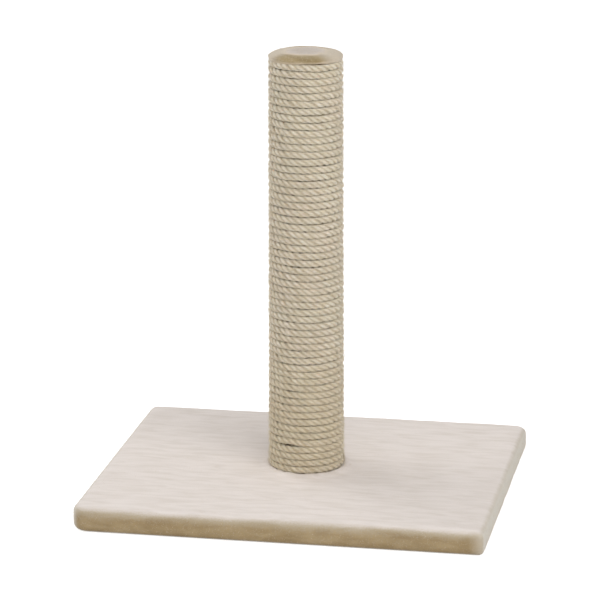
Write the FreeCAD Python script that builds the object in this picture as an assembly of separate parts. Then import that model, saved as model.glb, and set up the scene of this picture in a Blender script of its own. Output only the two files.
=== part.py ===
"""A free-standing scratching post: a rope-wound tube clamped on a plush-covered board.

Millimetres, +Z up. The origin is the middle of the base's underside, with +X to the
right and +Y to the back. Every separate piece is written as one file in parts/.
"""

import FreeCAD, Part
import math
import os

from FreeCAD import Vector

# ---- driving dimensions ---------------------------------------------------------

# base
base_width = 400.0            # left to right, over the plush
base_depth = 340.0            # front to back, over the plush
board_thickness = 19.0        # chipboard
board_corner_radius = 14.0    # of the board's corners, seen from above
board_edge_radius = 4.0       # of the board's long edges
plush_thickness = 2.0         # backing and pile, as pressed
hem_width = 35.0              # plush turned in under the board

# post
post_height = 421.0           # from the base's top to the cap's top
tube_diameter = 58.0          # outside of the cardboard tube
tube_wall = 5.0
rope_diameter = 6.95          # laid sisal rope, pulled tight
rope_turn_gap = 0.05          # least gap between neighbouring turns
rope_foot_angle = 30.0        # where the rope's lower end lies, in degrees from +X
rope_top_angle = 150.0        # and its upper end, both at the back
plug_thickness = 22.0         # wooden plugs in both ends of the tube

# cap
cap_disc_thickness = 4.0
cap_disc_edge_radius = 1.5
cap_rim_padding = 4.0         # plush from the disc's rim to the outside of the rope
cap_shoulder_width = 11.0     # the soft slope from the cap's top out to its widest line
cap_foot_radius = 2.0         # the rounding below that line

# clamping screw and its nut
thread_diameter = 8.0
thread_pitch = 1.25
bolt_head_width = 13.0        # across flats
bolt_head_height = 5.3
bolt_tip_projection = 4.0     # past the nut's flange
bolt_chamfer_angle = 30.0     # of the head's corners
washer_diameter = 24.0
washer_thickness = 2.0
head_recess = 2.7             # from the board's underside up to the bolt's head
spanner_room = 2.0            # beside the washer
nut_flange_diameter = 22.0
nut_flange_thickness = 1.5
nut_barrel_diameter = 10.0
nut_barrel_length = 11.0
nut_prong_length = 6.0
nut_prong_width = 3.0
nut_prong_inset = 0.4         # from the flange's rim
nut_prong_count = 4

# wood screws that hold the cap
cap_screw_count = 3
cap_screw_circle = 26.0       # diameter of the circle that they stand on
cap_screw_diameter = 4.0
cap_screw_head_diameter = 8.0
cap_screw_bite = 3.0          # length in the cap disc
cap_screw_pilot = 3.0         # diameter of its hole in the cap disc

# wire staples
staple_wire = 0.7
staple_crown = 10.0           # along the crown, over both legs
hem_staple_leg = 8.0
hem_staple_spacing = 45.0
hem_staple_margin = 15.75     # from the hem's inner edge out to the row
hem_staple_corner = 42.5      # from the base's corner to the first staple of a row
cap_staple_leg = 4.0
cap_staple_count = 8
plug_staple_leg = 12.0
plug_staple_count = 6
rope_staple_leg = 14.0
rope_staple_sink = 1.6        # below the outside of the rope
rope_staple_angle = 10.0      # from the rope's end round to the staple that holds it
groove_staple_height = 30.0   # above the base, one more staple, at the front
groove_staple_angle = -109.5
staple_sink = 0.6             # of the hem staples' crowns, below the pile

# clearances
hole_clearance = 0.5          # round the screw's shank, in the board and the foot plug
thread_clearance = 0.05       # the plain shank in the nut's bore
glue_gap = 0.05               # radial, plugs in the tube and rope on the tube
rope_foot_gap = 0.3           # the lowest turn above the base's plush
hem_gap = 0.3                 # the cap's hem round the top plug
rounding_share = 0.4          # of a slab's thickness, the most that its edges are rounded by

# ---- places that follow from them -----------------------------------------------

board_bottom = plush_thickness
board_top = board_bottom + board_thickness
base_top = board_top + plush_thickness
board_edge = min(board_edge_radius, rounding_share * board_thickness)
hem_staple_inset = plush_thickness + hem_width - hem_staple_margin

cap_height = cap_disc_thickness + 2 * plush_thickness
post_top = base_top + post_height
tube_top = post_top - cap_height
disc_bottom = tube_top + plush_thickness
disc_top = disc_bottom + cap_disc_thickness
disc_edge = min(cap_disc_edge_radius, rounding_share * cap_disc_thickness)

tube_radius = tube_diameter / 2
bore_radius = tube_radius - tube_wall
plug_radius = bore_radius - glue_gap
rope_radius = rope_diameter / 2
winding_radius = tube_radius + glue_gap + rope_radius     # of the rope's centre line
wrap_radius = winding_radius + rope_radius                # over the rope
cap_radius = wrap_radius
cap_disc_radius = cap_radius - cap_rim_padding
hem_hole_radius = plug_radius + hem_gap

rope_low = base_top + rope_foot_gap + rope_radius
rope_high = tube_top - glue_gap - rope_radius
part_turn = (rope_foot_angle - rope_top_angle) % 360 / 360
rope_turns = int((rope_high - rope_low) / (rope_diameter + rope_turn_gap) - part_turn) + part_turn
rope_pitch = (rope_high - rope_low) / rope_turns
rope_staple_rise = rope_pitch * rope_staple_angle / 360

foot_plug_top = base_top + plug_thickness
top_plug_bottom = disc_bottom - plug_thickness
shank_radius = thread_diameter / 2
shank_hole_radius = shank_radius + hole_clearance
counterbore_depth = washer_thickness + bolt_head_height + head_recess
counterbore_radius = washer_diameter / 2 + spanner_room
washer_bottom = board_bottom + counterbore_depth - washer_thickness
bolt_tip = foot_plug_top + nut_flange_thickness + bolt_tip_projection
nut_bottom = foot_plug_top - nut_barrel_length
release_turns = int((bolt_tip - nut_bottom) / thread_pitch - 1)


# ---- shapes used more than once -------------------------------------------------

def rod(radius, low, high, x=0.0, y=0.0):
    """An upright cylinder between two heights."""
    return Part.makeCylinder(radius, high - low, Vector(x, y, low))


def block(width, depth, low, high):
    """An upright box with its middle on the Z axis."""
    return Part.makeBox(width, depth, high - low, Vector(-width / 2, -depth / 2, low))


def is_upright(edge):
    first, last = edge.Vertexes[0].Point, edge.Vertexes[-1].Point
    return abs(first.z - last.z) > 1e-6


def soft_block(width, depth, low, high, corner_radius, edge_radius):
    """A slab with round corners in plan and round edges above and below."""
    slab = block(width, depth, low, high)
    slab = slab.makeFillet(corner_radius, [e for e in slab.Edges if is_upright(e)])
    return slab.makeFillet(edge_radius, [e for e in slab.Edges if not is_upright(e)])


def staple(leg):
    """One staple: its crown along X with its outside at z = 0, its legs up along +Z."""
    half = staple_crown / 2
    inside = half - staple_wire
    outline = [(-half, 0), (half, 0), (half, leg), (inside, leg), (inside, staple_wire),
               (-inside, staple_wire), (-inside, leg), (-half, leg), (-half, 0)]
    points = [Vector(x, -staple_wire / 2, z) for x, z in outline]
    return Part.Face(Part.makePolygon(points)).extrude(Vector(0, staple_wire, 0))


def turned(shape, angle):
    """A copy turned about the Z axis."""
    shape = shape.copy()
    shape.rotate(Vector(0, 0, 0), Vector(0, 0, 1), angle)
    return shape


def moved(shape, x, y, z):
    """A copy moved by x, y and z."""
    shape = shape.copy()
    shape.translate(Vector(x, y, z))
    return shape


def radial_staple(leg, crown_radius, angle, height):
    """A staple driven in towards the Z axis, its crown level and crown_radius away."""
    driven = staple(leg)
    driven.rotate(Vector(0, 0, 0), Vector(1, 0, 0), 90)       # the legs now point to -Y
    driven.translate(Vector(0, crown_radius, height))
    return turned(driven, angle - 90)


# ---- base -----------------------------------------------------------------------

def board_blank():
    """The board before it is drilled, and the hollow that its cover needs."""
    return soft_block(base_width - 2 * plush_thickness, base_depth - 2 * plush_thickness,
                      board_bottom, board_top, board_corner_radius, board_edge)


def base_board():
    board = board_blank()
    board = board.cut(rod(shank_hole_radius, board_bottom, board_top))
    return board.cut(rod(counterbore_radius, board_bottom, board_bottom + counterbore_depth))


def base_cover():
    cover = soft_block(base_width, base_depth, 0, base_top,
                       board_corner_radius + plush_thickness, board_edge + plush_thickness)
    cover = cover.cut(board_blank())
    inset = 2 * (plush_thickness + hem_width)
    cover = cover.cut(block(base_width - inset, base_depth - inset, 0, board_bottom))
    return cover.cut(rod(shank_hole_radius, board_top, base_top))


def base_cover_staples():
    """A row along each side of the hem, with the crowns sunk into the pile."""
    staples = []
    for side_length, across, angle in ((base_width, base_depth, 0), (base_depth, base_width, 90)):
        row_length = side_length - 2 * hem_staple_corner
        steps = max(1, round(row_length / hem_staple_spacing))
        for step in range(steps + 1):
            along = -row_length / 2 + row_length * step / steps
            for side in (-1, 1):
                place = side * (across / 2 - hem_staple_inset)
                sunk = moved(staple(hem_staple_leg), along, place, staple_sink)
                staples.append(turned(sunk, angle))
    return Part.makeCompound(staples)


# ---- clamping screw -------------------------------------------------------------

def clamp_bolt():
    """A hexagon head below the washer and a plain shank of the thread's diameter."""
    head_bottom = washer_bottom - bolt_head_height
    corner_radius = bolt_head_width / math.sqrt(3)
    corners = [Vector(corner_radius * math.cos(math.radians(60 * k)),
                      corner_radius * math.sin(math.radians(60 * k)), head_bottom)
               for k in range(7)]
    head = Part.Face(Part.makePolygon(corners)).extrude(Vector(0, 0, bolt_head_height))
    spread = bolt_head_height / math.tan(math.radians(bolt_chamfer_angle))
    turned_head = Part.makeCone(bolt_head_width / 2, bolt_head_width / 2 + spread,
                                bolt_head_height, Vector(0, 0, head_bottom))
    head = head.common(turned_head)
    tip_chamfer = min(thread_pitch, rounding_share * shank_radius)
    shank = rod(shank_radius, washer_bottom, bolt_tip - tip_chamfer)
    tip = Part.makeCone(shank_radius, shank_radius - tip_chamfer, tip_chamfer,
                        Vector(0, 0, bolt_tip - tip_chamfer))
    return head.fuse([shank, tip]).removeSplitter()


def clamp_washer():
    ring = rod(washer_diameter / 2, washer_bottom, washer_bottom + washer_thickness)
    return ring.cut(rod(shank_hole_radius, washer_bottom, washer_bottom + washer_thickness))


def tee_nut():
    """A flange on the foot plug's top, a barrel in its hole and prongs in its wood."""
    nut = rod(nut_flange_diameter / 2, foot_plug_top, foot_plug_top + nut_flange_thickness)
    nut = nut.fuse(rod(nut_barrel_diameter / 2, nut_bottom, foot_plug_top))
    outside = nut_flange_diameter / 2 - nut_prong_inset
    half = nut_prong_width / 2
    for k in range(nut_prong_count):
        corners = [Vector(outside, -half, foot_plug_top), Vector(outside, half, foot_plug_top),
                   Vector(outside, 0, foot_plug_top - nut_prong_length),
                   Vector(outside, -half, foot_plug_top)]
        prong = Part.Face(Part.makePolygon(corners)).extrude(Vector(-nut_flange_thickness, 0, 0))
        nut = nut.fuse(turned(prong, 360 * k / nut_prong_count))
    bore = rod(shank_radius + thread_clearance, nut_bottom, foot_plug_top + nut_flange_thickness)
    return nut.cut(bore).removeSplitter()


# ---- post -----------------------------------------------------------------------

def post_tube():
    tube = rod(tube_radius, base_top, tube_top)
    return tube.cut(rod(bore_radius, base_top, tube_top))


def foot_plug():
    plug = rod(plug_radius, base_top, foot_plug_top)
    plug = plug.cut(rod(shank_hole_radius, base_top, foot_plug_top))
    return plug.cut(rod(nut_barrel_diameter / 2 + glue_gap, nut_bottom, foot_plug_top))


def cap_screw_places():
    """The x and y of each cap screw."""
    angles = [math.radians(90 + 360 * k / cap_screw_count) for k in range(cap_screw_count)]
    radius = cap_screw_circle / 2
    return [(radius * math.cos(angle), radius * math.sin(angle)) for angle in angles]


def screw_head_cone(x, y, extra=0.0):
    """A countersunk head, or with extra the countersink that it sits in."""
    wide = cap_screw_head_diameter / 2 + extra
    narrow = cap_screw_diameter / 2 + extra
    return Part.makeCone(wide, narrow, wide - narrow, Vector(x, y, top_plug_bottom))


def top_plug():
    plug = rod(plug_radius, top_plug_bottom, disc_bottom)
    for x, y in cap_screw_places():
        hole = rod(cap_screw_diameter / 2 + glue_gap, top_plug_bottom, disc_bottom, x, y)
        plug = plug.cut([hole, screw_head_cone(x, y, glue_gap)])
    return plug


def cap_screws():
    """Wood screws up through the top plug into the cap disc."""
    screws = []
    for x, y in cap_screw_places():
        shank = rod(cap_screw_diameter / 2, top_plug_bottom, disc_bottom + cap_screw_bite, x, y)
        screws.append(shank.fuse(screw_head_cone(x, y)).removeSplitter())
    return Part.makeCompound(screws)


def disc_blank():
    """The disc before it is drilled, and the hollow that its cover needs."""
    disc = rod(cap_disc_radius, disc_bottom, disc_top)
    rims = [e for e in disc.Edges if len(e.Vertexes) == 1]
    return disc.makeFillet(disc_edge, rims)


def cap_disc():
    pilots = [rod(cap_screw_pilot / 2, disc_bottom, disc_bottom + cap_screw_bite, x, y)
              for x, y in cap_screw_places()]
    return disc_blank().cut(pilots)


def cap_cover():
    """Plush over the disc, with a soft shoulder, and turned in below the disc."""
    foot = min(cap_foot_radius, rounding_share * cap_height)
    widest = tube_top + foot
    flat_radius = cap_radius - cap_shoulder_width
    wide, deep = cap_shoulder_width, post_top - widest
    if wide >= deep:
        ellipse = Part.Ellipse(Vector(flat_radius, widest, 0), wide, deep)
        shoulder = Part.ArcOfEllipse(ellipse, 0, math.pi / 2).toShape()
    else:
        ellipse = Part.Ellipse(Vector(flat_radius, post_top, 0), Vector(cap_radius, widest, 0),
                               Vector(flat_radius, widest, 0))
        shoulder = Part.ArcOfEllipse(ellipse, -math.pi / 2, 0).toShape()
    slant = foot * (1 - math.sqrt(0.5))
    rounding = Part.Arc(Vector(cap_radius - foot, tube_top, 0),
                        Vector(cap_radius - slant, tube_top + slant, 0),
                        Vector(cap_radius, widest, 0)).toShape()
    corners = [Vector(flat_radius, post_top, 0), Vector(0, post_top, 0), Vector(0, tube_top, 0),
               Vector(cap_radius - foot, tube_top, 0)]
    profile = Part.Wire([Part.makePolygon(corners), rounding, shoulder])
    face = Part.Face(profile)
    face.rotate(Vector(0, 0, 0), Vector(1, 0, 0), 90)
    cover = face.revolve(Vector(0, 0, 0), Vector(0, 0, 1), 360)
    return cover.cut([disc_blank(), rod(hem_hole_radius, tube_top, disc_bottom)])


def cap_cover_staples():
    crown_radius = (cap_disc_radius + hem_hole_radius) / 2
    sunk = moved(staple(cap_staple_leg), 0, crown_radius, tube_top + staple_sink)
    return Part.makeCompound([turned(sunk, 360 * k / cap_staple_count)
                              for k in range(cap_staple_count)])


def plug_staples(height):
    """Staples through the tube into a plug, the ends of their crowns flush with the tube."""
    crown_radius = math.sqrt(tube_radius ** 2 - (staple_crown / 2) ** 2)
    return Part.makeCompound([
        radial_staple(plug_staple_leg, crown_radius, 360 * k / plug_staple_count, height)
        for k in range(plug_staple_count)])


def sisal_rope():
    """One rope in a single layer of turns that run down to the right on every side."""
    height = rope_pitch * rope_turns
    path = Part.Wire(Part.makeLongHelix(rope_pitch, height, winding_radius, 0, True).Edges)
    start = path.Edges[0]
    section = Part.makeCircle(rope_radius, start.valueAt(start.FirstParameter),
                              start.tangentAt(start.FirstParameter))
    rope = path.makePipeShell([Part.Wire(section)], True, True)
    return moved(turned(rope, rope_foot_angle), 0, 0, rope_low)


def rope_staple(angle, height):
    return radial_staple(rope_staple_leg, wrap_radius - rope_staple_sink, angle, height)


def rope_foot_staples():
    """One at the rope's lower end and one further up, between two turns."""
    return Part.makeCompound([
        rope_staple(rope_foot_angle - rope_staple_angle, rope_low + rope_staple_rise),
        rope_staple(groove_staple_angle, base_top + groove_staple_height)])


def rope_top_staples():
    return Part.makeCompound([
        rope_staple(rope_top_angle + rope_staple_angle, rope_high - rope_staple_rise)])


# ---- files ----------------------------------------------------------------------

nodes = {
    "base_board": base_board(),
    "base_cover": base_cover(),
    "base_cover_staples": base_cover_staples(),
    "clamp_bolt": clamp_bolt(),
    "clamp_washer": clamp_washer(),
    "tee_nut": tee_nut(),
    "post_tube": post_tube(),
    "foot_plug": foot_plug(),
    "foot_plug_staples": plug_staples(base_top + plug_thickness / 2),
    "top_plug": top_plug(),
    "top_plug_staples": plug_staples(tube_top - plug_thickness / 2),
    "cap_disc": cap_disc(),
    "cap_screws": cap_screws(),
    "cap_cover": cap_cover(),
    "cap_cover_staples": cap_cover_staples(),
    "sisal_rope": sisal_rope(),
    "rope_foot_staples": rope_foot_staples(),
    "rope_top_staples": rope_top_staples(),
}

os.makedirs("parts", exist_ok=True)
for name, shape in nodes.items():
    shape.exportStep(f"parts/{name}.step")
    print(f"{name}: {len(shape.Solids)} solid(s), {shape.Volume:.0f} mm3")

rope_length = rope_turns * math.hypot(2 * math.pi * winding_radius, rope_pitch)
print(f"rope: {rope_turns:.2f} turns, pitch {rope_pitch:.3f} mm, {rope_length / 1000:.2f} m")
print(f"screw: {release_turns} turns lift the post {release_turns * thread_pitch:.2f} mm")
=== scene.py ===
import math
import random

import bmesh
import bpy
import numpy as np
from mathutils import Matrix, Vector, noise


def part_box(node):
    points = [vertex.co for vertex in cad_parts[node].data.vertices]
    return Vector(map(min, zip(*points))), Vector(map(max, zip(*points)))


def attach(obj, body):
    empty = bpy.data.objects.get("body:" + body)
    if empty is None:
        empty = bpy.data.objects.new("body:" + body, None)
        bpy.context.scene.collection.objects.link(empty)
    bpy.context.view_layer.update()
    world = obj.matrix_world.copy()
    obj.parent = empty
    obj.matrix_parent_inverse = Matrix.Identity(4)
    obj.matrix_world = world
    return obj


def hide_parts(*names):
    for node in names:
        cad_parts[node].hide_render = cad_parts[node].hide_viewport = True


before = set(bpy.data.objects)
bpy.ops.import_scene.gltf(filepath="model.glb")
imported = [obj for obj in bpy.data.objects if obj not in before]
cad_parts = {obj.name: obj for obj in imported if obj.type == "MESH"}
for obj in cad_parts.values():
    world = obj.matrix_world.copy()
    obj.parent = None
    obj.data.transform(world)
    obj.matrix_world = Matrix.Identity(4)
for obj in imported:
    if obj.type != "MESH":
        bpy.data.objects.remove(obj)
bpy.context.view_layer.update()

# Metres, +Z up, as in the frame. A free-standing scratching post: plush base and cap, rope-wound tube.
mm = 0.001
scene = bpy.context.scene
baseLow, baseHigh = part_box("base_cover")
capLow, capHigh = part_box("cap_cover")
ropeLow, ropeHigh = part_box("sisal_rope")
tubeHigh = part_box("post_tube")[1]
boltLow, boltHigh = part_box("clamp_bolt")


# ---- small helpers: colours, shader nodes, meshes

def paint(red, green, blue):                      # a colour as it should look on screen, 0 to 255
    channels = [c / 255 for c in (red, green, blue)]
    return tuple(((c + 0.055) / 1.055) ** 2.4 if c > 0.04 else c / 12.92 for c in channels) + (1,)


def place(tree, kind, inputs=None, **settings):   # one shader node, its sockets linked or set
    made = tree.nodes.new(kind)
    for key, value in settings.items():
        setattr(made, key, value)
    for key, value in (inputs or {}).items():
        if isinstance(value, bpy.types.NodeSocket):
            tree.links.new(value, made.inputs[key])
        else:
            made.inputs[key].default_value = value
    return made


def calculate(tree, operation, first, second=0.0, third=0.0):
    made = place(tree, "ShaderNodeMath", {0: first, 1: second, 2: third}, operation=operation)
    return made.outputs[0]


def remap(tree, value, low, high, start=0.0, end=1.0):        # soft step from start to end
    made = place(tree, "ShaderNodeMapRange", {"Value": value, "From Min": low, "From Max": high,
                                              "To Min": start, "To Max": end})
    made.interpolation_type = "SMOOTHSTEP"
    return made.outputs["Result"]


def blendColours(tree, share, first, second, mode="MIX"):
    made = place(tree, "ShaderNodeMix", {0: share, 6: first, 7: second}, data_type="RGBA")
    made.blend_type = mode
    return made.outputs[2]


def newMaterial(name, **shaderValues):
    material = bpy.data.materials.new(name)
    material.use_nodes = True
    shader = material.node_tree.nodes["Principled BSDF"]
    for label, value in shaderValues.items():
        shader.inputs[label.replace("_", " ")].default_value = value
    return material, material.node_tree, shader


def addBump(tree, shader, height, strength, distance):
    bump = place(tree, "ShaderNodeBump", {"Height": height, "Strength": strength, "Distance": distance})
    tree.links.new(bump.outputs["Normal"], shader.inputs["Normal"])


def newGroup(name, inputs, outputs):
    group = bpy.data.node_groups.new(name, "ShaderNodeTree")
    for label, kind, value in inputs:
        socket = group.interface.new_socket(name=label, in_out="INPUT", socket_type=kind)
        if value is not None:
            socket.default_value = value
    for label in outputs:
        group.interface.new_socket(name=label, in_out="OUTPUT", socket_type="NodeSocketFloat")
    return group, group.nodes.new("NodeGroupInput").outputs, group.nodes.new("NodeGroupOutput").inputs


def useGroup(tree, group, vector, **values):
    made = place(tree, "ShaderNodeGroup", node_tree=group)
    tree.links.new(vector, made.inputs["Vector"])
    for label, value in values.items():
        made.inputs[label].default_value = value
    return made.outputs


def objectCoordinates(tree):
    return place(tree, "ShaderNodeTexCoord").outputs["Object"]


def finishPiece(mesh, name, material, body):
    piece = bpy.data.objects.new(name, mesh)
    scene.collection.objects.link(piece)
    mesh.name = name
    mesh.materials.clear()
    mesh.materials.append(material)
    mesh.shade_smooth()
    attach(piece, body)
    return piece


def meshFrom(bm, name):
    mesh = bpy.data.meshes.new(name)
    bm.to_mesh(mesh)
    bm.free()
    return mesh


def tubesAlong(name, lines, thickness, sides, caps=True):     # each line: points and their thickness shares
    curve = bpy.data.curves.new(name, "CURVE")
    curve.dimensions = "3D"
    curve.bevel_depth = thickness
    curve.bevel_resolution = (sides - 4) // 2
    curve.use_fill_caps = caps
    for points, shares in lines:
        spline = curve.splines.new("POLY")
        spline.points.add(len(points) - 1)
        spline.points.foreach_set("co", np.column_stack([points, np.ones(len(points))]).ravel())
        spline.points.foreach_set("radius", np.asarray(shares, float))
    holder = bpy.data.objects.new(name, curve)
    mesh = bpy.data.meshes.new_from_object(holder)
    bpy.data.objects.remove(holder)
    bpy.data.curves.remove(curve)
    return mesh


def smooth(value):
    value = min(1, max(0, value))
    return value * value * (3 - 2 * value)


# ---- effects that several finishes share

def fibreGroup():       # long fine fibres and slow patches along the first axis of the vector, in mm
    group, given, out = newGroup("fibres", [("Vector", "NodeSocketVector", None),
                                            ("Along", "NodeSocketFloat", 0.15),
                                            ("Across", "NodeSocketFloat", 3.0)],
                                 ["Fine", "Broad"])
    stretch = place(group, "ShaderNodeCombineXYZ", {"X": given["Along"], "Y": given["Across"],
                                                    "Z": given["Across"]})
    fine = place(group, "ShaderNodeVectorMath", {0: given["Vector"], 1: stretch.outputs[0]},
                 operation="MULTIPLY")
    broad = place(group, "ShaderNodeVectorMath", {0: fine.outputs[0], "Scale": 0.16}, operation="SCALE")
    for label, vector, detail in (("Fine", fine, 3.0), ("Broad", broad, 2.0)):
        grain = place(group, "ShaderNodeTexNoise", {"Vector": vector.outputs[0], "Scale": 1.0,
                                                    "Detail": detail, "Roughness": 0.6})
        group.links.new(remap(group, grain.outputs["Fac"], 0.3, 0.7), out[label])
    return group


def patchGroup():       # uneven tone: patches of two sizes, for wear, handling and batch differences
    group, given, out = newGroup("patches", [("Vector", "NodeSocketVector", None),
                                             ("Size", "NodeSocketFloat", 30 * mm)],
                                 ["Large", "Small"])
    scale = calculate(group, "DIVIDE", 1.0, given["Size"])
    for label, factor in (("Large", 1.0), ("Small", 6.0)):
        spots = place(group, "ShaderNodeTexNoise", {"Vector": given["Vector"], "Detail": 3.0,
                                                    "Scale": calculate(group, "MULTIPLY", scale, factor)})
        group.links.new(remap(group, spots.outputs["Fac"], 0.32, 0.68), out[label])
    return group


fibres = fibreGroup()
patches = patchGroup()


# ---- finishes

# brow, side and end colours are painted shade and light of the same cloth where it turns from the top light;
# dim darkens the lower edge with painted shade, and the cap top's middle
basePlush = {
    "top": paint(236, 227, 221), "topShade": paint(232, 223, 217), "brow": paint(190, 176, 153),
    "side": paint(174, 152, 115), "sideShade": paint(154, 132, 97), "end": paint(216, 209, 197),
    "tuft": 1.1 * mm, "streak": (34 * mm, 8 * mm, 8 * mm), "dim": 0.9,
}
capPlush = basePlush | {
    "top": paint(211, 200, 190), "topShade": paint(203, 191, 179), "brow": paint(216, 198, 172),
    "side": paint(166, 147, 108), "sideShade": paint(144, 125, 90), "end": paint(209, 197, 179),
    "streak": (16 * mm, 7 * mm, 7 * mm), "dim": 0.86,
}


def plushMaterial(name, f):     # painted shade and light: how far the cloth has turned to the side, to an end, and is dimmed
    material, tree, shader = newMaterial(name, Roughness=0.95, Sheen_Weight=0.2, Sheen_Roughness=0.5,
                                         Specular_IOR_Level=0.12)
    where = objectCoordinates(tree)
    tuft = place(tree, "ShaderNodeTexNoise", {"Vector": where, "Scale": 1 / f["tuft"], "Detail": 2.0,
                                              "Roughness": 0.65}).outputs["Fac"]
    lay = place(tree, "ShaderNodeVectorMath", {0: where, 1: [1 / size for size in f["streak"]]},
                operation="MULTIPLY").outputs[0]
    streak = place(tree, "ShaderNodeTexNoise", {"Vector": lay, "Scale": 1.0, "Detail": 3.5,
                                                "Distortion": 0.5}).outputs["Fac"]
    uneven = useGroup(tree, patches, where, Size=90 * mm)
    paintedShade = place(tree, "ShaderNodeSeparateXYZ", {0: place(tree, "ShaderNodeAttribute",
                                                          attribute_name="paintedShade").outputs["Vector"]}).outputs
    # painted shade: over the brow and down the sides, where the cloth turns away from the top light, it is
    # painted darker and warmer
    tuftRise = calculate(tree, "MULTIPLY_ADD", calculate(tree, "SUBTRACT", tuft, 0.5), 0.7, paintedShade["X"])
    ragged = calculate(tree, "MULTIPLY_ADD", calculate(tree, "SUBTRACT", streak, 0.5), 0.5, tuftRise)
    top = blendColours(tree, remap(tree, streak, 0.3, 0.7), f["top"], f["topShade"])
    shaded = calculate(tree, "MULTIPLY_ADD", uneven["Small"], 0.5, remap(tree, streak, 0.35, 0.65, 0.0, 0.5))
    sideTone = blendColours(tree, shaded, f["side"], f["sideShade"])
    colour = blendColours(tree, remap(tree, ragged, -0.1, 0.62), top, f["brow"])
    colour = blendColours(tree, remap(tree, ragged, 0.36, 1.1), colour, sideTone)
    # painted light: the ends, and the top near the +X end, take a paler grey beige where the cloth faces
    # sideways
    ends = calculate(tree, "MULTIPLY", paintedShade["Y"], remap(tree, paintedShade["X"], 0.0, 0.6))
    colour = blendColours(tree, ends, colour, f["end"])
    # fleck: random tufts, times the dim share, which is painted shade along the base's lower edge and darkens
    # the middle of the cap's top
    fleck = calculate(tree, "MULTIPLY", remap(tree, tuft, 0.3, 0.7, 0.93, 1.04),
                      remap(tree, paintedShade["Z"], 0.0, 1.0, 1.0, f["dim"]))
    colour = blendColours(tree, 1.0, colour, place(tree, "ShaderNodeCombineColor", {
        0: fleck, 1: fleck, 2: fleck}).outputs[0], "MULTIPLY")
    tree.links.new(colour, shader.inputs["Base Color"])
    addBump(tree, shader, calculate(tree, "MULTIPLY_ADD", streak, 0.12, tuft), 0.35, 0.8 * mm)
    return material


# the crevice colour is painted shade, and the colour near the foot is painted warm reflected light
sisalFinish = {
    "pale": paint(247, 240, 227), "tan": paint(230, 219, 199), "olive": paint(218, 210, 186),
    "pink": paint(232, 215, 200), "deep": paint(176, 156, 120), "footBounce": paint(206, 188, 146),
    "along": 0.13, "across": 2.6, "footBounceTop": 180 * mm, "footBounceFull": 80 * mm, "footBounceShare": 0.3,
}


def sisalMaterial():    # follows fibreSpace: along the rope, outwards, upwards, in mm
    f = sisalFinish
    material, tree, shader = newMaterial("sisal", Roughness=0.72, Specular_IOR_Level=0.3, Sheen_Weight=0.15,
                                         Subsurface_Weight=0.5, Subsurface_Scale=2 * mm,
                                         Subsurface_Radius=(1.0, 0.85, 0.65))
    space = place(tree, "ShaderNodeAttribute", attribute_name="fibreSpace").outputs["Vector"]
    strands = useGroup(tree, fibres, space, Along=f["along"], Across=f["across"])
    uneven = useGroup(tree, patches, objectCoordinates(tree), Size=45 * mm)
    colour = blendColours(tree, strands["Fine"], f["tan"], f["pale"])
    colour = blendColours(tree, calculate(tree, "MULTIPLY", strands["Broad"], 0.4), colour, f["olive"])
    colour = blendColours(tree, calculate(tree, "MULTIPLY", uneven["Large"], 0.35), colour, f["pink"])
    colour = blendColours(tree, calculate(tree, "MULTIPLY", uneven["Small"], 0.35), colour, f["olive"])
    parts = place(tree, "ShaderNodeSeparateXYZ", {0: space}).outputs
    reach = calculate(tree, "SQRT", calculate(tree, "MULTIPLY_ADD", parts["Y"], parts["Y"],
                                              calculate(tree, "MULTIPLY", parts["Z"], parts["Z"])))
    # painted shade: darker in the crevices between the strands and between the turns
    creviceShadeMask = calculate(tree, "MULTIPLY", remap(tree, reach, 3.3, 2.4), remap(tree, parts["Y"], 0.4, 1.8))
    colour = blendColours(tree, calculate(tree, "MULTIPLY", creviceShadeMask, 0.55), colour, f["deep"])
    # painted warm reflected light: a little yellower near the foot
    height = place(tree, "ShaderNodeSeparateXYZ", {0: objectCoordinates(tree)}).outputs["Z"]
    footBounceMix = remap(tree, height, f["footBounceTop"], f["footBounceFull"], 0.0, f["footBounceShare"])
    colour = blendColours(tree, footBounceMix, colour, f["footBounce"])
    tree.links.new(colour, shader.inputs["Base Color"])
    addBump(tree, shader, strands["Fine"], 0.5, 0.5 * mm)
    return material


def hairMaterial(name, first, second):            # loose fibres
    material, tree, shader = newMaterial(name, Roughness=0.6, Specular_IOR_Level=0.3)
    uneven = useGroup(tree, patches, objectCoordinates(tree), Size=6 * mm)
    tree.links.new(blendColours(tree, uneven["Small"], first, second), shader.inputs["Base Color"])
    return material


chipFinish = {"pale": paint(206, 178, 132), "brown": paint(150, 116, 74), "chip": 5 * mm}


def chipboardMaterial():
    f = chipFinish
    material, tree, shader = newMaterial("raw_chipboard", Roughness=0.85, Specular_IOR_Level=0.2)
    where = objectCoordinates(tree)
    flat = place(tree, "ShaderNodeVectorMath", {0: where, 1: (1.0, 1.6, 3.0)}, operation="MULTIPLY")
    chips = place(tree, "ShaderNodeTexVoronoi", {"Vector": flat.outputs[0], "Scale": 1 / f["chip"],
                                                 "Randomness": 1.0})
    tone = place(tree, "ShaderNodeSeparateColor", {0: chips.outputs["Color"]}).outputs["Red"]
    uneven = useGroup(tree, patches, where, Size=25 * mm)
    colour = blendColours(tree, tone, f["pale"], f["brown"])
    colour = blendColours(tree, calculate(tree, "MULTIPLY", uneven["Small"], 0.5), colour, f["pale"])
    tree.links.new(colour, shader.inputs["Base Color"])
    addBump(tree, shader, chips.outputs["Distance"], 0.4, 0.3 * mm)
    return material


woodFinish = {"early": paint(226, 192, 142), "late": paint(184, 138, 84), "ring": 3.5 * mm}


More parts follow.
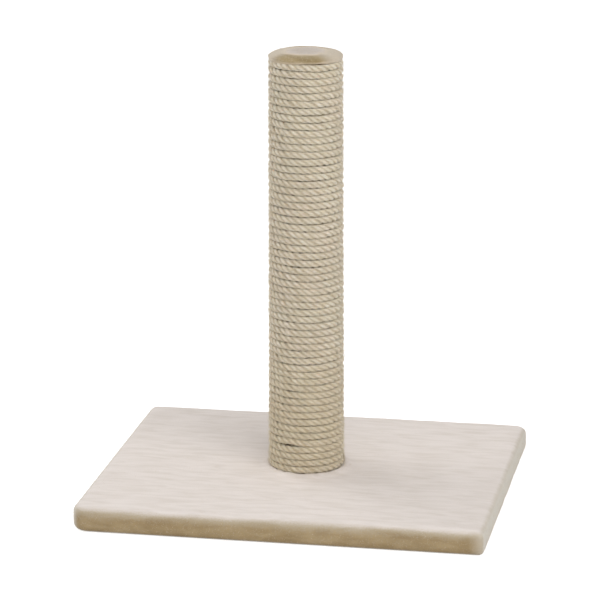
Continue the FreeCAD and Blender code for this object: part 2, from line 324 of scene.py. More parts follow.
def plugWoodMaterial():
    f = woodFinish
    material, tree, shader = newMaterial("sawn_softwood", Roughness=0.7, Specular_IOR_Level=0.25)
    where = objectCoordinates(tree)
    offCentre = place(tree, "ShaderNodeMapping", {"Vector": where, "Location": (60 * mm, 25 * mm, 0)})
    rings = place(tree, "ShaderNodeTexWave", {"Vector": offCentre.outputs[0], "Scale": 0.314 / f["ring"],
                                              "Distortion": 2.5, "Detail": 2.0, "Detail Scale": 0.6},
                  wave_type="RINGS", rings_direction="Z").outputs["Fac"]
    scaled = place(tree, "ShaderNodeVectorMath", {0: where, "Scale": 1 / mm}, operation="SCALE")
    grain = useGroup(tree, fibres, scaled.outputs[0], Along=0.8, Across=2.0)
    colour = blendColours(tree, rings, f["early"], f["late"])
    colour = blendColours(tree, calculate(tree, "MULTIPLY", grain["Fine"], 0.3), colour, f["late"])
    tree.links.new(colour, shader.inputs["Base Color"])
    addBump(tree, shader, grain["Fine"], 0.3, 0.2 * mm)
    return material


cardFinish = {"kraft": paint(188, 166, 132), "dark": paint(166, 144, 110), "ply": 60 * mm}


def cardboardMaterial():                          # spiral plies and kraft fibres
    f = cardFinish
    material, tree, shader = newMaterial("spiral_cardboard", Roughness=0.8, Specular_IOR_Level=0.2)
    where = objectCoordinates(tree)
    axes = place(tree, "ShaderNodeSeparateXYZ", {0: where}).outputs
    turn = calculate(tree, "DIVIDE", calculate(tree, "ARCTAN2", axes["Y"], axes["X"]), 2 * math.pi)
    climb = calculate(tree, "DIVIDE", axes["Z"], f["ply"])
    seam = calculate(tree, "FRACT", calculate(tree, "ADD", climb, turn))
    line = calculate(tree, "MULTIPLY", remap(tree, seam, 0.0, 0.03), remap(tree, seam, 1.0, 0.98))
    scaled = place(tree, "ShaderNodeVectorMath", {0: where, "Scale": 1 / mm}, operation="SCALE")
    grain = useGroup(tree, fibres, scaled.outputs[0], Along=0.5, Across=0.9)
    colour = blendColours(tree, grain["Fine"], f["kraft"], f["dark"])
    colour = blendColours(tree, line, f["dark"], colour)
    tree.links.new(colour, shader.inputs["Base Color"])
    addBump(tree, shader, line, 0.5, 0.4 * mm)
    return material


zincFinish = {"bright": paint(208, 211, 214), "dull": paint(168, 171, 172), "spangle": 2.5 * mm}


def zincMaterial():
    f = zincFinish
    material, tree, shader = newMaterial("zinc_plate", Metallic=1.0, Roughness=0.32)
    where = objectCoordinates(tree)
    spangle = place(tree, "ShaderNodeTexVoronoi", {"Vector": where, "Scale": 1 / f["spangle"]})
    tone = place(tree, "ShaderNodeSeparateColor", {0: spangle.outputs["Color"]}).outputs["Red"]
    uneven = useGroup(tree, patches, where, Size=8 * mm)
    tree.links.new(blendColours(tree, calculate(tree, "MULTIPLY", tone, 0.5), f["bright"], f["dull"]),
                   shader.inputs["Base Color"])
    tree.links.new(remap(tree, uneven["Small"], 0.0, 1.0, 0.24, 0.42), shader.inputs["Roughness"])
    return material


def wireMaterial(name, first, second, metallic):  # staples, galvanised or lacquered
    material, tree, shader = newMaterial(name, Metallic=metallic, Roughness=0.42)
    uneven = useGroup(tree, patches, objectCoordinates(tree), Size=3 * mm)
    tree.links.new(blendColours(tree, uneven["Small"], first, second),
                   shader.inputs["Base Color"])
    return material


plush = plushMaterial("cream_plush", basePlush)
capCloth = plushMaterial("cap_plush", capPlush)
sisal = sisalMaterial()
chipboard = chipboardMaterial()
plugWood = plugWoodMaterial()
cardboard = cardboardMaterial()
zinc = zincMaterial()
wire = wireMaterial("staple_wire", paint(192, 192, 190), paint(140, 138, 134), 1.0)
lacquered = wireMaterial("lacquered_wire", paint(88, 70, 40), paint(60, 46, 26), 0.4)
plushHair = hairMaterial("plush_fibres", paint(232, 222, 210), paint(206, 190, 166))
sisalHair = hairMaterial("sisal_fibres", paint(240, 231, 212), paint(214, 201, 172))

cadFinishes = {
    "base_board": chipboard, "foot_plug": plugWood, "top_plug": plugWood,
    "post_tube": cardboard, "clamp_washer": zinc, "tee_nut": zinc, "cap_screws": zinc,
    "base_cover_staples": wire, "foot_plug_staples": wire, "top_plug_staples": wire,
    "cap_cover_staples": wire, "rope_foot_staples": lacquered, "rope_top_staples": lacquered,
}
for node, finish in cadFinishes.items():
    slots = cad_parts[node].data.materials
    slots.clear()
    slots.append(finish)
print("finishes ready")


# ---- base cover: plush drawn over the board and stapled below

baseCover = {
    "cell": 4.2 * mm, "edgeRadius": 6 * mm, "hem": 37 * mm, "wall": 1.8 * mm,
    "corners": {(-1, -1): 18 * mm, (1, -1): 6 * mm, (-1, 1): 8 * mm, (1, 1): 12 * mm},
    "boltHole": 4.5 * mm, "holeZone": 12 * mm, "loft": 1.2 * mm, "lump": 0.35 * mm,
    "loftReach": 12 * mm, "lumpScale": 28, "napScale": 75, "sideFade": 4 * mm,
    "pressRadius": 33.5 * mm, "pressFade": 4 * mm,
    "collar": 3.2 * mm, "collarRadius": 38.5 * mm, "collarWidth": 4 * mm,
    # where the painted shade over the brow, the paler painted ends and the painted shade along the lower edge
    # start and fade
    "browStart": 6 * mm, "browFall": 16 * mm, "endReach": 16 * mm, "edgeShadeHeight": 3.2 * mm, "edgeShadeFade": 2.6 * mm,
    "dent": 1.25 * mm, "dentWidth": 3 * mm, "flat": (0.516, 0.456),
    # grid lines, in mm: out from the middle, in from the rim, up the sides and beside a row of staples
    "middleCuts": (1.5, 3, 4.5, 6, 8, 11, 15), "rimCuts": (10.5, 9, 7.5, 6, 4.5, 3, 1.5),
    "heightCuts": (1.5, 3, 4.5, 6.5, 9, 11.5, 14, 16.5, 18.5, 20, 21.5),
    "rowCuts": (-3.4, -1.8, -0.5, 0.5, 1.8, 3.4),
}


def staplePlaces(node, apart):                    # middle and direction of each staple's crown
    points = [v.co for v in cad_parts[node].data.vertices]
    level = min(p.z for p in points) + mm
    groups = []
    for p in (p for p in points if p.z < level):
        near = next((g for g in groups if (g[0] - p).length < apart), None)
        near.append(p) if near else groups.append([p])
    places = []
    for group in groups:
        low = Vector([min(p[axis] for p in group) for axis in range(3)])
        high = Vector([max(p[axis] for p in group) for axis in range(3)])
        places.append(((low + high) / 2, (high - low) / 2))
    return places


def cutPlaces(half, extra):                       # where the cover's grid lines lie, one direction
    s = baseCover
    near = [reach * mm for reach in s["middleCuts"]]
    rim = [half - inset * mm for inset in s["rimCuts"]]
    count = round((rim[0] - near[-1]) / s["cell"])
    plain = [near[-1] + (rim[0] - near[-1]) * k / count for k in range(1, count)]
    kept = [p for p in plain if all(abs(p - e) > s["cell"] / 3 for e in extra)]
    oneSide = near + kept + list(extra) + rim
    return sorted([-p for p in oneSide] + [0.0] + oneSide)


def cornerOf(co):                                 # the hand-turned corners aren't alike
    return baseCover["corners"][math.copysign(1, co[0]), math.copysign(1, co[1])]


def roundPlan(co, half):                          # square rings at the corners become round ones
    radius = cornerOf(co)
    over = [abs(co[axis]) - (half[axis] - radius) for axis in (0, 1)]
    if min(over) > 0:
        ring = max(over) / math.hypot(*over)
        for axis in (0, 1):
            co[axis] = math.copysign(half[axis] - radius + over[axis] * ring, co[axis])


def planInset(co, half):                          # how far inside the outline, and the way out
    radius = cornerOf(co)
    over = [abs(co[axis]) - (half[axis] - radius) for axis in (0, 1)]
    signs = [math.copysign(1, co[axis]) for axis in (0, 1)]
    if min(over) > 0:
        length = math.hypot(*over)
        return radius - length, Vector((signs[0] * over[0] / length, signs[1] * over[1] / length, 0))
    axis = 0 if over[0] > over[1] else 1
    outward = Vector((0, 0, 0))
    outward[axis] = signs[axis]
    return radius - over[axis], outward


def makeBaseCover():
    s = baseCover
    middle, half = (baseLow + baseHigh) / 2, (baseHigh - baseLow) / 2
    staples = staplePlaces("base_cover_staples", 12 * mm)
    rows = [max(abs(place[axis]) for place, _ in staples) for axis in (0, 1)]
    bm = bmesh.new()
    bmesh.ops.create_cube(bm, size=2)
    bmesh.ops.scale(bm, vec=half, verts=bm.verts)
    bmesh.ops.translate(bm, vec=middle, verts=bm.verts)
    window = [half[axis] - s["hem"] for axis in (0, 1)]
    for axis in (0, 1):
        nearRow = [rows[axis] + step * mm for step in s["rowCuts"]]
        cuts = cutPlaces(half[axis], nearRow + [window[axis], window[axis] + 1.5 * mm])
        normal = Vector([float(k == axis) for k in range(3)])
        for cut in cuts:
            bmesh.ops.bisect_plane(bm, geom=bm.verts[:] + bm.edges[:] + bm.faces[:],
                                   plane_co=normal * cut, plane_no=normal, dist=0.01 * mm)
    for height in s["heightCuts"]:
        bmesh.ops.bisect_plane(bm, geom=bm.verts[:] + bm.edges[:] + bm.faces[:], dist=0.01 * mm,
                               plane_co=(0, 0, height * mm), plane_no=(0, 0, 1))
    inside = [f for f in bm.faces if f.calc_center_median().z < mm / 2
              and all(abs(f.calc_center_median()[axis]) < window[axis] for axis in (0, 1))]
    bmesh.ops.delete(bm, geom=inside, context="FACES")
    for v in bm.verts:                            # the bolt's hole: square rings to round ones
        reach = max(abs(v.co.x), abs(v.co.y))
        if v.co.z > middle.z and 0 < reach < s["holeZone"]:
            ring = reach / math.hypot(v.co.x, v.co.y)
            share = 1 - smooth((reach - s["boltHole"]) / (s["holeZone"] - s["boltHole"]))
            v.co.x *= 1 + (ring - 1) * share
            v.co.y *= 1 + (ring - 1) * share
    hole = [f for f in bm.faces if f.calc_center_median().z > middle.z
            and math.hypot(*f.calc_center_median().xy) < s["boltHole"]]
    bmesh.ops.delete(bm, geom=hole, context="FACES")
    top, radius = baseHigh.z, s["edgeRadius"]
    paintedShade = bm.verts.layers.float_vector.new("paintedShade")
    for v in bm.verts:
        roundPlan(v.co, half)
        inset, outward = planInset(v.co, half)
        fromTop, fromBottom = top - v.co.z, v.co.z - baseLow.z
        # painted shade masks: turned over the brow and down the side, near an end, and darkened along the
        # lower edge
        turned = (fromTop - inset + s["browStart"]) / s["browFall"] if fromBottom > 0.5 * mm else 0.5
        nearEnd = 0.5 * smooth(1 - (half.x - v.co.x) / s["endReach"])
        v[paintedShade] = (min(1, max(0, turned)), max(nearEnd, smooth((abs(outward.x) - 0.55) / 0.45)),
                   smooth((s["edgeShadeHeight"] - fromBottom) / s["edgeShadeFade"]))
        depth = min(fromTop, fromBottom)
        if inset < radius and depth < radius:
            u, w = radius - inset, radius - depth
            ring = max(u, w) / math.hypot(u, w)
            v.co += outward * (u * ring - u)
            v.co.z += (w * ring - w) * (1 if fromTop < fromBottom else -1)
        # loft and lumps of the pile, pressed flat round the post's foot and under the board
        fromPost = math.hypot(v.co.x, v.co.y)
        free = smooth((fromPost - s["pressRadius"]) / s["pressFade"])
        lump = noise.noise(v.co * s["lumpScale"])
        lump += 0.5 * noise.noise(v.co * s["napScale"] + Vector((3, 7, 1)))
        if fromTop < radius:
            rise = s["loft"] * smooth(inset / s["loftReach"]) + s["lump"] * lump
            crowded = s["collar"] * math.exp(-((fromPost - s["collarRadius"]) / s["collarWidth"]) ** 2)
            v.co.z += (free * rise + crowded) * (1 - fromTop / radius)
        sideways = smooth(fromTop / radius) * smooth(fromBottom / s["sideFade"]) * smooth(1 - inset / radius)
        v.co += outward * s["lump"] * lump * sideways
        if fromBottom < mm / 2:
            for crown, size in staples:
                off = v.co - crown
                aside = math.hypot(*(max(0, abs(off[axis]) - size[axis]) for axis in (0, 1)))
                if aside < s["dentWidth"]:
                    v.co.z += s["dent"] * smooth(1 - aside / s["dentWidth"])
    piece = finishPiece(meshFrom(bm, "base_cover_plush"), "base_cover_plush", plush, "base")
    shell = piece.modifiers.new("wall", "SOLIDIFY")
    shell.thickness, shell.offset = s["wall"], -1
    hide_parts("base_cover")
    return piece


baseCoverPiece = makeBaseCover()
print("base cover", len(baseCoverPiece.data.vertices))


# ---- cap cover: the same plush over a disc, gathered under its rim

capCover = {
    "shoulderWidth": 11 * mm, "footRadius": 2.6 * mm, "hemRadius": 24.3 * mm, "steps": 144,
    "wall": 1.8 * mm, "fullness": 2.8, "settle": 0.8 * mm, "dome": 2.3 * mm,
    "wave": 0.45 * mm, "ripple": 0.25 * mm, "pleats": 17, "pleat": 0.3 * mm,
    # where the cap's painted shade past the brow, and the darkening towards the top's middle, lie
    "brow": 10 * mm, "browOut": 1.5 * mm, "browWave": 3 * mm, "dimRadius": 17 * mm,
    "lipHeight": 2.6 * mm, "lipStart": 31 * mm, "lipFade": 3 * mm,
    "droop": 1.3 * mm, "sideDroop": 1.8 * mm, "sideAngle": -169,
    "folds": ((-28, 0.9 * mm), (-128, 0.8 * mm), (75, 0.7 * mm)), "foldWidth": 4.5,
    "flap": 5.6 * mm, "flapStart": 30, "flapEnd": 150, "flapTuck": 9,
    "flat": (0.104, 0.104), "area": 0.0085,
}


def makeCapCover():
    s = capCover
    radius, low, high = capHigh.x, capLow.z, capHigh.z
    foot, widest = s["footRadius"], capLow.z + s["footRadius"]
    inner = radius - s["shoulderWidth"]
    outline = [(s["hemRadius"] + (radius - foot - s["hemRadius"]) * k / 5, low) for k in range(6)]
    outline += [(radius - foot + foot * math.sin(a), widest - foot * math.cos(a))
                for a in (math.pi / 8 * k for k in range(1, 5))]
    full = 2 / s["fullness"]
    outline += [(inner + s["shoulderWidth"] * math.cos(a) ** full,
                 widest + (high - widest) * math.sin(a) ** full)
                for a in (math.pi / 28 * k for k in range(1, 14))] + [(inner, high)]
    outline += [(inner * (1 - k / 9), high) for k in range(1, 10)]
    bm = bmesh.new()
    verts = [bm.verts.new((r, 0, z)) for r, z in outline]
    edges = [bm.edges.new(pair) for pair in zip(verts, verts[1:])]
    bmesh.ops.spin(bm, geom=verts + edges, cent=(0, 0, 0), axis=(0, 0, 1), dvec=(0, 0, 0),
                   angle=2 * math.pi, steps=s["steps"], use_merge=True, use_duplicate=False)
    bmesh.ops.remove_doubles(bm, verts=bm.verts, dist=0.01 * mm)
    paintedShade = bm.verts.layers.float_vector.new("paintedShade")
    for v in bm.verts:
        reach, angle = math.hypot(v.co.x, v.co.y), math.atan2(v.co.y, v.co.x)
        out = Vector((math.cos(angle), math.sin(angle), 0))
        onTop = smooth((v.co.z - widest - mm) / (2 * mm))
        lip = smooth(1.4 - (v.co.z - low) / s["lipHeight"]) if reach > inner else 0.0
        outer = smooth((reach - s["lipStart"]) / s["lipFade"])
        ringPlace = out * 1.3
        # painted shade and light: darker and warmer past the brow's edge, paler over the lip and towards the
        # ends, darker towards the middle of the top
        browEdge = inner + s["browOut"] + s["browWave"] * noise.noise(ringPlace * 1.7 + Vector((2, 8, 3)))
        v[paintedShade] = (1 - onTop * smooth((browEdge - reach) / s["brow"]) - 0.45 * lip,
                   0.85 * smooth((abs(out.x) - 0.5) / 0.4), onTop * smooth(1.35 - reach / s["dimRadius"]))
        height = (v.co.z - low) / (high - low)
        rim = smooth((reach - 0.6 * radius) / (0.35 * radius))
        wave = noise.noise(ringPlace * 1.6 + Vector((0, 0, 5))) + 0.5 * noise.noise(ringPlace * 4)
        v.co.z += s["wave"] * wave * rim * smooth(height * 1.6) - s["settle"] * height
        v.co.z -= s["dome"] * (reach / radius) ** 2 * smooth(height * 1.6 - 0.3)
        toSide = abs(math.cos(angle - math.radians(s["sideAngle"])))
        hanging = s["droop"] * (0.5 + 0.7 * noise.noise(ringPlace * 2.2 + Vector((4, 1, 8))))
        v.co.z -= (hanging + s["sideDroop"] * smooth(1.6 * toSide - 0.6)) * lip * outer
        # behind, the hem is pulled down over the wedge that the last turn of rope leaves open
        bearing = math.degrees(angle) % 360
        pulled = smooth((bearing - s["flapStart"]) / (s["flapEnd"] - s["flapStart"]))
        pulled *= smooth(1 - (bearing - s["flapEnd"]) / s["flapTuck"])
        v.co.z -= s["flap"] * pulled * lip * outer
        fold = math.sin(s["pleats"] * angle + 2.5 * noise.noise(ringPlace * 2))
        v.co -= out * s["pleat"] * (0.5 + 0.5 * fold) * rim * smooth(1.2 - height * 1.6)
        for where, depth in s["folds"]:
            aside = ((math.degrees(angle) - where + 180) % 360 - 180) / s["foldWidth"]
            v.co -= out * depth * math.exp(-aside * aside) * rim * smooth(1.3 - height)
        v.co.z += s["ripple"] * noise.noise(v.co * 90) * smooth(height * 3 - 1)
    bmesh.ops.recalc_face_normals(bm, faces=bm.faces)
    piece = finishPiece(meshFrom(bm, "cap_cover_plush"), "cap_cover_plush", capCloth, "post")
    shell = piece.modifiers.new("wall", "SOLIDIFY")
    shell.thickness, shell.offset = s["wall"], -1
    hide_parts("cap_cover")
    return piece


capDisc = {"radius": 31.5 * mm, "thickness": 2.4 * mm, "bevel": 0.8 * mm}


def makeCapDisc():      # thinner and rounder than the cover's inside, so that the plush can settle on it
    s = capDisc
    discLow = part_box("cap_disc")[0]
    bm = bmesh.new()
    bmesh.ops.create_cone(bm, cap_ends=True, segments=96, radius1=s["radius"], radius2=s["radius"],
                          depth=s["thickness"])
    bmesh.ops.translate(bm, vec=(0, 0, discLow.z + s["thickness"] / 2), verts=bm.verts)
    rims = [e for e in bm.edges if abs(e.verts[0].co.z - e.verts[1].co.z) < mm / 10]
    bmesh.ops.bevel(bm, geom=rims, offset=s["bevel"], affect="EDGES", segments=3, profile=0.5, material=-1)
    piece = finishPiece(meshFrom(bm, "cap_disc_board"), "cap_disc_board", chipboard, "post")
    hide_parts("cap_disc")


capCoverPiece = makeCapCover()
makeCapDisc()
print("cap cover", len(capCoverPiece.data.vertices))


# ---- fuzz: short pile standing proud of both covers, thickest along their edges

fuzz = {
    "base": 8500, "cap": 900, "length": (0.9 * mm, 2.3 * mm), "thickness": 0.05 * mm,
    "lean": 0.9, "seed": 11,
    "lowest": 2.5 * mm, "footInner": 35 * mm, "footOuter": 43 * mm, "footShare": 2.5,
}


def makeFuzz(cover, name, count, body, weight):   # weight: share of the pile that shows, by place
    s = fuzz
    dice = random.Random(s["seed"])
    faces = [f for f in cover.data.polygons if weight(f.center, f.normal) > 0]
    shares = [f.area * weight(f.center, f.normal) for f in faces]
    lines = []
    for face in dice.choices(faces, weights=shares, k=count):
        corners = [cover.data.vertices[i].co for i in face.vertices]
        a, b = dice.random(), dice.random()
        root = corners[0].lerp(corners[1], a).lerp(corners[-1].lerp(corners[2 % len(corners)], a), b)
        side = Vector([dice.gauss(0, 1) for _ in range(3)])
        side -= side.project(face.normal)
        length = dice.uniform(*s["length"])
        lean = side.normalized() * length * dice.uniform(0.2, s["lean"])
        tip = root + face.normal * length * dice.uniform(0.35, 0.8) + lean
        middle = root.lerp(tip, 0.55) + face.normal * length * 0.12
        lines.append(([root, middle, tip], [1.0, 0.8, 0.35]))
    mesh = tubesAlong(name, lines, s["thickness"], 4, caps=False)
    return finishPiece(mesh, name, plushHair, body)


def baseEdgeWeight(centre, normal):               # none below, little on top, most at the edges and the foot
    s = fuzz
    fromPost = math.hypot(centre.x, centre.y)
    if centre.z < s["lowest"] or fromPost < s["footInner"]:
        return 0.0
    return s["footShare"] if fromPost < s["footOuter"] else 0.12 + 1.6 * (1 - abs(normal.z))


def capEdgeWeight(centre, normal):
    return 0.0 if centre.z < capLow.z + mm else 0.4 + 1.5 * (1 - abs(normal.z))


makeFuzz(baseCoverPiece, "base_cover_fuzz", fuzz["base"], "base", baseEdgeWeight)
makeFuzz(capCoverPiece, "cap_cover_fuzz", fuzz["cap"], "post", capEdgeWeight)
print("fuzz done")


# ---- rope: three laid strands on one route round the tube

rope = {
    "footAngle": 30, "topAngle": 150, "turnGap": 0.05 * mm, "glue": 0.05 * mm, "lift": 2.7 * mm,
    "pointsPerTurn": 24, "samplesPerPoint": 5, "levelShare": 2 / 3, "even": 0.25, "evenTurns": 14,
    "sag": 2.6 * mm, "wander": 0.9 * mm, "wanderSize": 30 * mm, "jitter": 0.5 * mm, "proud": 0.5 * mm,
    "front": -79, "slant": 1.4 * mm, "slantTurns": 2.5,
    "swell": 1.2 * mm, "swellSide": 0.9 * mm, "swellAngle": 191,
    "strands": 3, "lay": 20.5 * mm, "strandRadius": 1.98 * mm, "strandOffset": 1.64 * mm, "sides": 8,
    "bulge": 0.07, "bulgeLength": 7 * mm, "uneven": 0.5, "unevenLength": 40 * mm,
    "frayLength": 8 * mm, "fray": 0.3, "seed": 23,
    "gapAngle": -109.5, "gapHeight": 53 * mm, "gapLift": 1.9 * mm, "gapTurn": 13,
    "hairPieces": 4, "hairs": 11000, "hairLength": (2.5 * mm, 8 * mm), "hairThickness": 0.075 * mm,
    "hairSlant": 42, "endHairEvery": 60,
}


def ropeSizes():        # rope radius, radius of its centre line, lowest and highest turn, climbs
    s = rope
    tubeRadius = tubeHigh.x + s["glue"]
    ropeRadius = (ropeHigh.x - tubeRadius) / 2
    low, high = ropeLow.z + ropeRadius, ropeHigh.z - ropeRadius
    turns = int((high - low) / (2 * ropeRadius + s["turnGap"]) - (1 - s["levelShare"]))
    return ropeRadius, tubeRadius + ropeRadius, low + s["lift"], high, turns


def ropeHeight(turn, share, turns, low, high):    # level at the front, climbing at the back
    s = rope
    level = s["levelShare"]
    stepped = smooth((share - level) / (1 - level)) if turn < turns else 0.0
    even = s["even"] * smooth(min(turn, turns - turn) / s["evenTurns"])
    up = min(1, (turn + stepped + (share - stepped) * even) / turns)
    return low + (high - low) * up - s["sag"] * math.sin(math.pi * up)


def ropeRoute():        # the centre line, from a NURBS spline of hand-wound unevenness
    s = rope
    ropeRadius, radius, low, high, turns = ropeSizes()
    pitch = (high - low) / turns
    perTurn = s["pointsPerTurn"]
    curve = bpy.data.curves.new("ropeRoute", "CURVE")
    curve.dimensions = "3D"
    curve.resolution_u = s["samplesPerPoint"]
    spline = curve.splines.new("NURBS")
    last = round((turns + (s["footAngle"] - s["topAngle"]) % 360 / 360) * perTurn)
    spline.points.add(last)
    for k in range(last + 1):
        turn, share = divmod(k / perTurn, 1)
        angle = math.radians(s["footAngle"] - 360 * k / perTurn)
        height = ropeHeight(turn, share, turns, low, high)
        ends = smooth(min(height - low, high - height) / (2 * pitch))
        spot = Vector((math.cos(angle), math.sin(angle), 0)) * radius
        there = (spot + Vector((0, 0, height))) / s["wanderSize"]
        height += ends * (s["wander"] * noise.noise(there) + s["jitter"] * noise.noise(there * 3.5))
        # the top turns hang lower on the right; two turns are pushed apart round a staple near the foot
        aside = (math.degrees(angle) - s["front"] + 180) % 360 - 180
        fromTop = (high - height) / pitch / s["slantTurns"]
        height -= (s["slant"] * smooth((aside + 25) / 55) * smooth((140 - aside) / 60)
                   * math.exp(-fromTop ** 2))
        aside = (math.degrees(angle) - s["gapAngle"] + 180) % 360 - 180
        above = (height - s["gapHeight"]) / pitch
        push = math.exp(-(aside / s["gapTurn"]) ** 2 - ((abs(above) - 0.4) / 1.1) ** 2)
        height += s["gapLift"] * push * (1.0 if above > 0 else -0.35)
        out = radius + s["proud"] * (0.3 + 0.7 * noise.noise(there * 3 + Vector((9, 2, 4))))
        # laid fuller towards the foot, most on the left
        aside = math.cos(angle - math.radians(s["swellAngle"]))
        out += (s["swell"] + s["swellSide"] * aside) * (high - height) / (high - low)
        out /= math.cos(math.pi / perTurn)
        spline.points[k].co = (out * math.cos(angle), out * math.sin(angle), height, 1)
    spline.order_u = 3
    spline.use_endpoint_u = True
    holder = bpy.data.objects.new("ropeRoute", curve)
    mesh = bpy.data.meshes.new_from_object(holder)
    points = np.array([v.co for v in mesh.vertices])
    bpy.data.objects.remove(holder)
    bpy.data.meshes.remove(mesh)
    bpy.data.curves.remove(curve)
    return points


def makeRope():
    s = rope
    ropeRadius = ropeSizes()[0]
    route = ropeRoute()
    steps = np.linalg.norm(np.diff(route, axis=0), axis=1)
    along = np.concatenate([[0], np.cumsum(steps)])
    tangent = np.gradient(route, axis=0)
    tangent /= np.linalg.norm(tangent, axis=1)[:, None]
    outward = route * (1, 1, 0)
    outward -= tangent * np.sum(outward * tangent, axis=1)[:, None]
    outward /= np.linalg.norm(outward, axis=1)[:, None]
    upward = np.cross(outward, tangent)
    upward *= np.sign(upward[:, 2])[:, None]
    fromEnd = np.minimum(along, along[-1] - along)
    spread = 1 + s["fray"] * np.clip(1 - fromEnd / s["frayLength"], 0, 1) ** 2
    for strand in range(s["strands"]):
        dice = random.Random(s["seed"] + strand)
        shift = dice.uniform(0, 50)
        tight = np.array([noise.noise(Vector((shift, 3, d / s["unevenLength"]))) for d in along])
        angle = 2 * math.pi * (along / s["lay"] + strand / s["strands"]) + s["uneven"] * tight
        offset = s["strandOffset"] * spread
        aside = outward * (offset * np.cos(angle))[:, None]
        centre = route + aside + upward * (offset * np.sin(angle))[:, None]
        swelling = np.array([noise.noise(Vector((d / s["bulgeLength"], shift, 1))) for d in along])
        bulge = 1 + s["bulge"] * swelling
        mesh = tubesAlong(f"rope_strand_{strand + 1}", [(centre, bulge)], s["strandRadius"], s["sides"])
        places = np.zeros(len(mesh.vertices) * 3)
        mesh.vertices.foreach_get("co", places)
        places = places.reshape(-1, 3)
        ring = np.minimum(np.arange(len(places)) // s["sides"], len(route) - 1)
        off = places - route[ring]
        space = np.column_stack([along[ring] + strand * 0.31, np.sum(off * outward[ring], axis=1),
                                 np.sum(off * upward[ring], axis=1)]) / mm
        mesh.attributes.new("fibreSpace", "FLOAT_VECTOR", "POINT").data.foreach_set("vector", space.ravel())
        finishPiece(mesh, f"rope_strand_{strand + 1}", sisal, "post")
    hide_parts("sisal_rope")
    print(f"rope {along[-1]:.2f} m, {len(route)} points")
    # loose fibres: they leave the rope at a low slant, and brush out at its two cut ends
    for part in range(s["hairPieces"]):
        dice = random.Random(s["seed"] + 10 * part)
        lines = []
        for k in range(s["hairs"]):
            start = dice.randrange(len(route)) if k % s["endHairEvery"] else dice.choice((2, len(route) - 3))
            lift = math.radians(dice.gauss(0, s["hairSlant"]))
            way = outward[start] * math.cos(lift) + upward[start] * math.sin(lift)
            ahead = tangent[start] * dice.choice((-1, 1)) + upward[start] * dice.gauss(0, 0.4)
            length = dice.uniform(*s["hairLength"])
            root = route[start] + way * ropeRadius * 0.93
            rise = abs(dice.gauss(0.08, 0.1)) + 0.03
            middle = root + ahead * length * 0.5 + way * length * rise * 0.8 - outward[start] * 0.1 * mm
            tip = root + ahead * length * 0.95 + way * length * rise * dice.uniform(0.2, 2.2)
            lines.append(([root, middle, tip], [1.0, 0.9, 0.5]))
        name = f"rope_fibres_{part + 1}"
        mesh = tubesAlong(name, lines, s["hairThickness"], 4, caps=False)
        finishPiece(mesh, name, sisalHair, "post")


makeRope()


# ---- clamping bolt: hexagon head and a real thread

bolt = {
    "acrossFlats": 13 * mm, "headHeight": 5.3 * mm, "bevel": 0.35 * mm, "pitch": 1.25 * mm,
    "radius": 4 * mm, "threadDepth": 0.68 * mm, "taper": 0.3 * mm, "stepsPerTurn": 28, "tip": 1.25 * mm,
}


def makeBolt():
    s = bolt
    low, high = boltLow.z, boltHigh.z
    seat = low + s["headHeight"]
    major = s["radius"]
    minor = major - s["threadDepth"]
    bm = bmesh.new()
    bmesh.ops.create_circle(bm, cap_ends=True, radius=s["acrossFlats"] / math.sqrt(3), segments=6)
    bmesh.ops.translate(bm, vec=(0, 0, low), verts=bm.verts)
    lifted = bmesh.ops.extrude_face_region(bm, geom=bm.faces[:])["geom"]
    raised = [g for g in lifted if isinstance(g, bmesh.types.BMVert)]
    bmesh.ops.translate(bm, vec=(0, 0, s["headHeight"]), verts=raised)
    bmesh.ops.bevel(bm, geom=bm.edges[:], offset=s["bevel"], affect="EDGES", segments=3, profile=0.5,
                    material=-1)
    bmesh.ops.recalc_face_normals(bm, faces=bm.faces)
    core = bmesh.ops.create_cone(bm, cap_ends=True, segments=32, radius1=minor, radius2=minor - s["taper"],
                                 depth=high - seat)["verts"]
    bmesh.ops.translate(bm, vec=(0, 0, (high + seat) / 2), verts=core)
    p = s["pitch"]
    start = seat - p
    profile = [(minor, 0), (major, 5 / 16 * p), (major, 7 / 16 * p), (minor, 12 / 16 * p), (minor, p)]
    verts = [bm.verts.new((r, 0, start + z)) for r, z in profile]
    edges = [bm.edges.new(pair) for pair in zip(verts, verts[1:])]
    turns = (high - s["tip"] - start) / p - 1
    steps = round(turns * s["stepsPerTurn"])
    bmesh.ops.spin(bm, geom=verts + edges, cent=(0, 0, 0), axis=(0, 0, 1), angle=2 * math.pi * turns,
                   dvec=(0, 0, turns * p / steps), steps=steps, use_merge=False, use_duplicate=False)
    bmesh.ops.remove_doubles(bm, verts=bm.verts, dist=0.004 * mm)
    mesh = meshFrom(bm, "clamp_bolt_threaded")
    piece = finishPiece(mesh, "clamp_bolt_threaded", zinc, "bolt")
    piece.data.set_sharp_from_angle(angle=math.radians(35))
    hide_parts("clamp_bolt")
    print("bolt", len(piece.data.polygons))


makeBolt()


# ---- studio: white floor, soft light, camera

studio = {
    "floorSize": 12, "floorColour": paint(250, 250, 250), "floorLift": 0.6,
    "skyLight": 0.44, "skyShown": 1.0,
    "key": {"place": (1.1, -1.77, 2.16), "size": 2.4, "power": 48},
    "rim": {"place": (-2.0, 0.9, 1.5), "size": 2.2, "power": 26},
    "lens": 187.57, "sensor": 36, "camera": (0.5548, -2.9075, 1.0105),
    "turn": 10.931, "tilt": 74.579, "roll": -0.272,
}


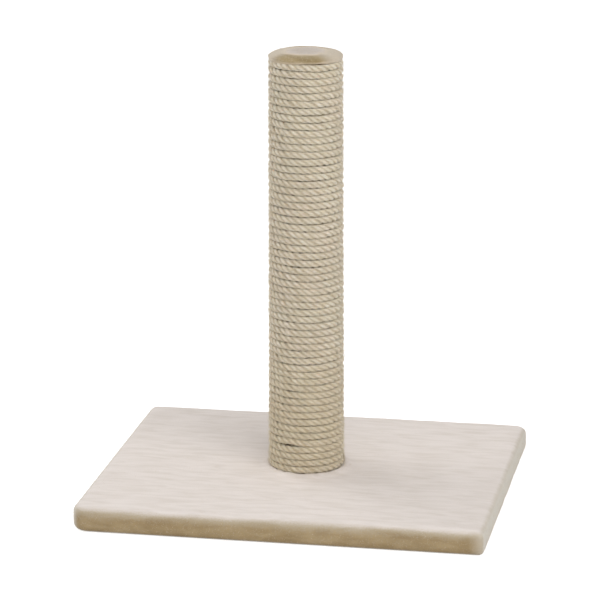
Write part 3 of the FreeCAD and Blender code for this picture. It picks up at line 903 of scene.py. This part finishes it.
def makeFloor():
    s = studio
    material, tree, shader = newMaterial("studio_floor", Roughness=1.0, Specular_IOR_Level=0.0)
    shader.inputs["Base Color"].default_value = s["floorColour"]
    shader.inputs["Emission Color"].default_value = (1, 1, 1, 1)
    rays = place(tree, "ShaderNodeLightPath").outputs
    seen = calculate(tree, "MAXIMUM", rays["Is Camera Ray"],
                     calculate(tree, "MAXIMUM", rays["Is Glossy Ray"], rays["Is Transmission Ray"]))
    tree.links.new(calculate(tree, "MULTIPLY", seen, s["floorLift"]), shader.inputs["Emission Strength"])
    clear = place(tree, "ShaderNodeBsdfTransparent").outputs[0]
    below = place(tree, "ShaderNodeNewGeometry").outputs["Backfacing"]
    sideShown = place(tree, "ShaderNodeMixShader", {0: below, 1: shader.outputs[0], 2: clear})
    tree.links.new(sideShown.outputs[0], tree.nodes["Material Output"].inputs["Surface"])
    bm = bmesh.new()
    bmesh.ops.create_grid(bm, x_segments=1, y_segments=1, size=s["floorSize"])
    floor = bpy.data.objects.new("studio_floor", meshFrom(bm, "studio_floor"))
    floor.data.materials.append(material)
    floor.location.z = baseLow.z - 0.05 * mm
    scene.collection.objects.link(floor)


def makeLights():
    s = studio
    world = bpy.data.worlds.new("studio")
    world.use_nodes = True
    tree = world.node_tree
    rays = place(tree, "ShaderNodeLightPath").outputs
    seen = calculate(tree, "MAXIMUM", rays["Is Camera Ray"],
                     calculate(tree, "MAXIMUM", rays["Is Glossy Ray"], rays["Is Transmission Ray"]))
    strength = calculate(tree, "MULTIPLY_ADD", seen, s["skyShown"] - s["skyLight"], s["skyLight"])
    tree.links.new(strength, tree.nodes["Background"].inputs["Strength"])
    tree.nodes["Background"].inputs["Color"].default_value = (1, 1, 1, 1)
    scene.world = world
    for name in ("key", "rim"):
        data = bpy.data.lights.new(name, "AREA")
        data.size, data.energy = s[name]["size"], s[name]["power"]
        lamp = bpy.data.objects.new(name, data)
        lamp.location = s[name]["place"]
        lamp.rotation_euler = (Vector((0, 0, 0.15)) - lamp.location).to_track_quat("-Z", "Y").to_euler()
        scene.collection.objects.link(lamp)


def makeCamera():
    s = studio
    data = bpy.data.cameras.new("view")
    data.lens, data.sensor_width = s["lens"], s["sensor"]
    data.clip_start, data.clip_end = 0.05, 60
    camera = bpy.data.objects.new("view", data)
    turned = (Matrix.Rotation(math.radians(s["turn"]), 4, "Z")
              @ Matrix.Rotation(math.radians(s["tilt"]), 4, "X")
              @ Matrix.Rotation(math.radians(s["roll"]), 4, "Z"))
    camera.matrix_world = Matrix.Translation(s["camera"]) @ turned
    scene.collection.objects.link(camera)
    scene.camera = camera


makeFloor()
makeLights()
makeCamera()
scene.view_settings.view_transform = "Standard"
print("studio ready")
